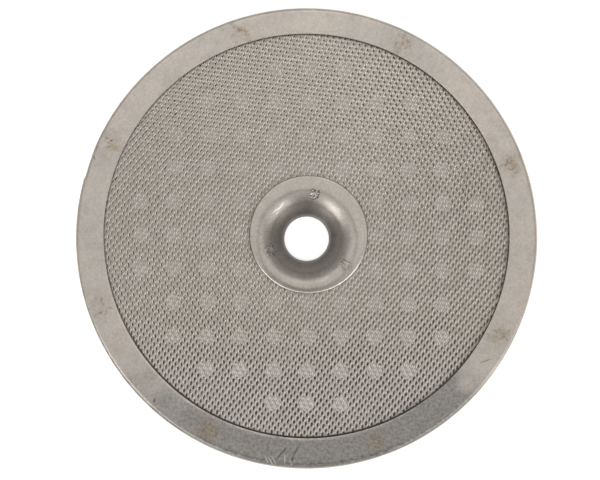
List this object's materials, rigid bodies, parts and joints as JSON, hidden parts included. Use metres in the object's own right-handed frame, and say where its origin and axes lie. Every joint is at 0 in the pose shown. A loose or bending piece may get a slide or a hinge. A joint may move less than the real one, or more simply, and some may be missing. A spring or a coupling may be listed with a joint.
{
  "type": "espresso shower screen",
  "caption": "Round steel shower screen: expanded metal sheet on a punched support plate, held by a pressed rim ring and a dished centre ferrule for its screw.",
  "frame": {"origin": "on the axis of the screw hole, level with the edge of the rim ring that meets the brew group", "axes": "+Z along the screw's axis towards the coffee side, square to the disc; +Y is the top of the picture"},
  "size_m": [0.0564, 0.0564, 0.0032],
  "materials": {
    "rim_steel": "dull pressed stainless sheet, lightly stained at the spot welds",
    "mesh_steel": "dull slit and stretched stainless sheet",
    "plate_steel": "plain punched stainless sheet",
    "ferrule_steel": "half bright drawn stainless sheet"
  },
  "bodies": {
    "root": {"rim_ring": "rim_steel", "expanded_mesh": "mesh_steel", "support_plate": "plate_steel", "centre_ferrule": "ferrule_steel"}
  },
  "joints": []
}
